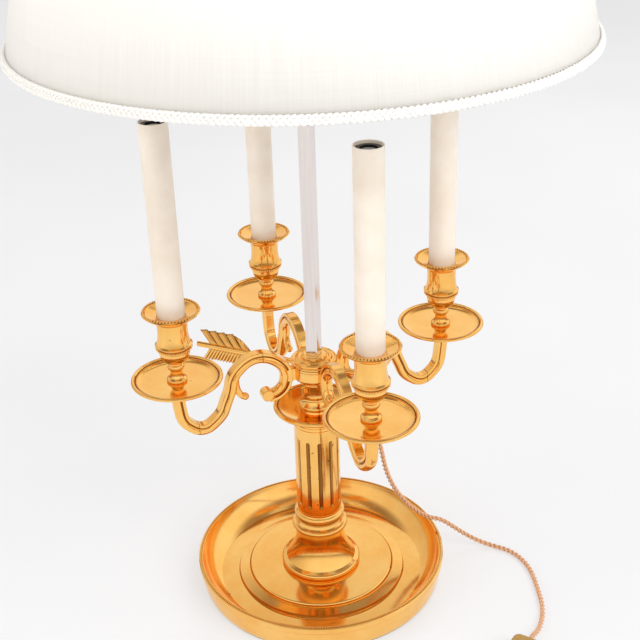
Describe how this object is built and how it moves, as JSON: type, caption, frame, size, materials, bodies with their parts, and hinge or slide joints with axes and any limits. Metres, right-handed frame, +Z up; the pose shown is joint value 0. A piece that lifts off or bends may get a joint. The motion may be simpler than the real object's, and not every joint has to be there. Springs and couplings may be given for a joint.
{
  "type": "bouillotte lamp",
  "caption": "Table lamp: a round dished base and fluted column carry scrolled candle arms round a square rod, on which a drum shade slides and clamps.",
  "frame": {"origin": "the lamp's axis on the surface that it stands on", "axes": "+Z up along the rod; the arrow lies along X with its feathers at -X; the arms stand at 45 degrees between X and Y"},
  "size_m": [0.4654, 0.4654, 0.771],
  "materials": {
    "gilt_brass": "gilded and burnished",
    "rod_nickel": "nickel plated, polished",
    "zinc_steel": "zinc plated",
    "ivory_card": "satin ivory",
    "black_bakelite": "moulded black",
    "felt": "green wool felt",
    "shade_fabric": "ivory silk on card",
    "shade_braid": "plaited cream braid",
    "silk_flex": "twisted antique gold silk",
    "tie_band": "woven tape",
    "gold_plastic": "moulded gold"
  },
  "bodies": {
    "stand": {"arm_back_left": "gilt_brass", "arm_back_right": "gilt_brass", "arm_front_left": "gilt_brass", "arm_front_right": "gilt_brass", "arm_hub": "gilt_brass", "arm_screws": "zinc_steel", "arrow_fletching": "gilt_brass", "arrow_head": "gilt_brass", "arrow_shaft": "gilt_brass", "base_dish": "gilt_brass", "base_felt": "felt", "base_nut": "zinc_steel", "base_washer": "zinc_steel", "candle_cup_back_left": "gilt_brass", "candle_cup_back_right": "gilt_brass", "candle_cup_front_left": "gilt_brass", "candle_cup_front_right": "gilt_brass", "candle_sleeve_back_left": "ivory_card", "candle_sleeve_back_right": "ivory_card", "candle_sleeve_front_left": "ivory_card", "candle_sleeve_front_right": "ivory_card", "centre_pan": "gilt_brass", "coil_tie": "tie_band", "column_foot": "gilt_brass", "cord_bush": "gilt_brass", "drip_pan_back_left": "gilt_brass", "drip_pan_back_right": "gilt_brass", "drip_pan_front_left": "gilt_brass", "drip_pan_front_right": "gilt_brass", "fluted_column": "gilt_brass", "hub_cap": "gilt_brass", "lampholder_back_left": "black_bakelite", "lampholder_back_right": "black_bakelite", "lampholder_front_left": "black_bakelite", "lampholder_front_right": "black_bakelite", "lampholder_stems": "zinc_steel", "mains_cord_coil": "silk_flex", "mains_cord_end": "silk_flex", "mains_cord_run": "silk_flex", "mains_cord_tail": "silk_flex", "neck": "gilt_brass", "plug_body": "gold_plastic", "plug_pins": "rod_nickel", "rod_finial": "gilt_brass", "square_rod": "rod_nickel", "switch_lower_shell": "gold_plastic", "switch_upper_shell": "gold_plastic", "terminal_block": "black_bakelite", "tie_rod": "zinc_steel"},
    "shade_carrier": {"shade_slider": "gilt_brass", "shade_spider": "gilt_brass", "shade_ring_nut": "gilt_brass", "shade_top_wire": "zinc_steel", "shade_bottom_wire": "zinc_steel", "shade_panel": "shade_fabric", "shade_braid_bottom": "shade_braid", "shade_braid_top": "shade_braid"},
    "clamp_screw": {"clamp_screw": "gilt_brass"},
    "switch_rocker": {"switch_rocker": "black_bakelite"}
  },
  "joints": [
    {"name": "shade_slide", "type": "slide", "parent": "stand", "child": "shade_carrier", "axis": [0, 0, 1], "range_m": [-0.15, 0.02]},
    {"name": "clamp_screw_turn", "type": "hinge", "parent": "shade_carrier", "child": "clamp_screw", "pos_m": [0.018, 0, 0.696], "axis": [1, 0, 0], "range_deg": [0, 360]},
    {"name": "switch_rocker_tilt", "type": "hinge", "parent": "stand", "child": "switch_rocker", "pos_m": [0.21346, -0.06765, 0.0095], "axis": [0.9887, -0.1498, 0], "range_deg": [0, 12]}
  ]
}
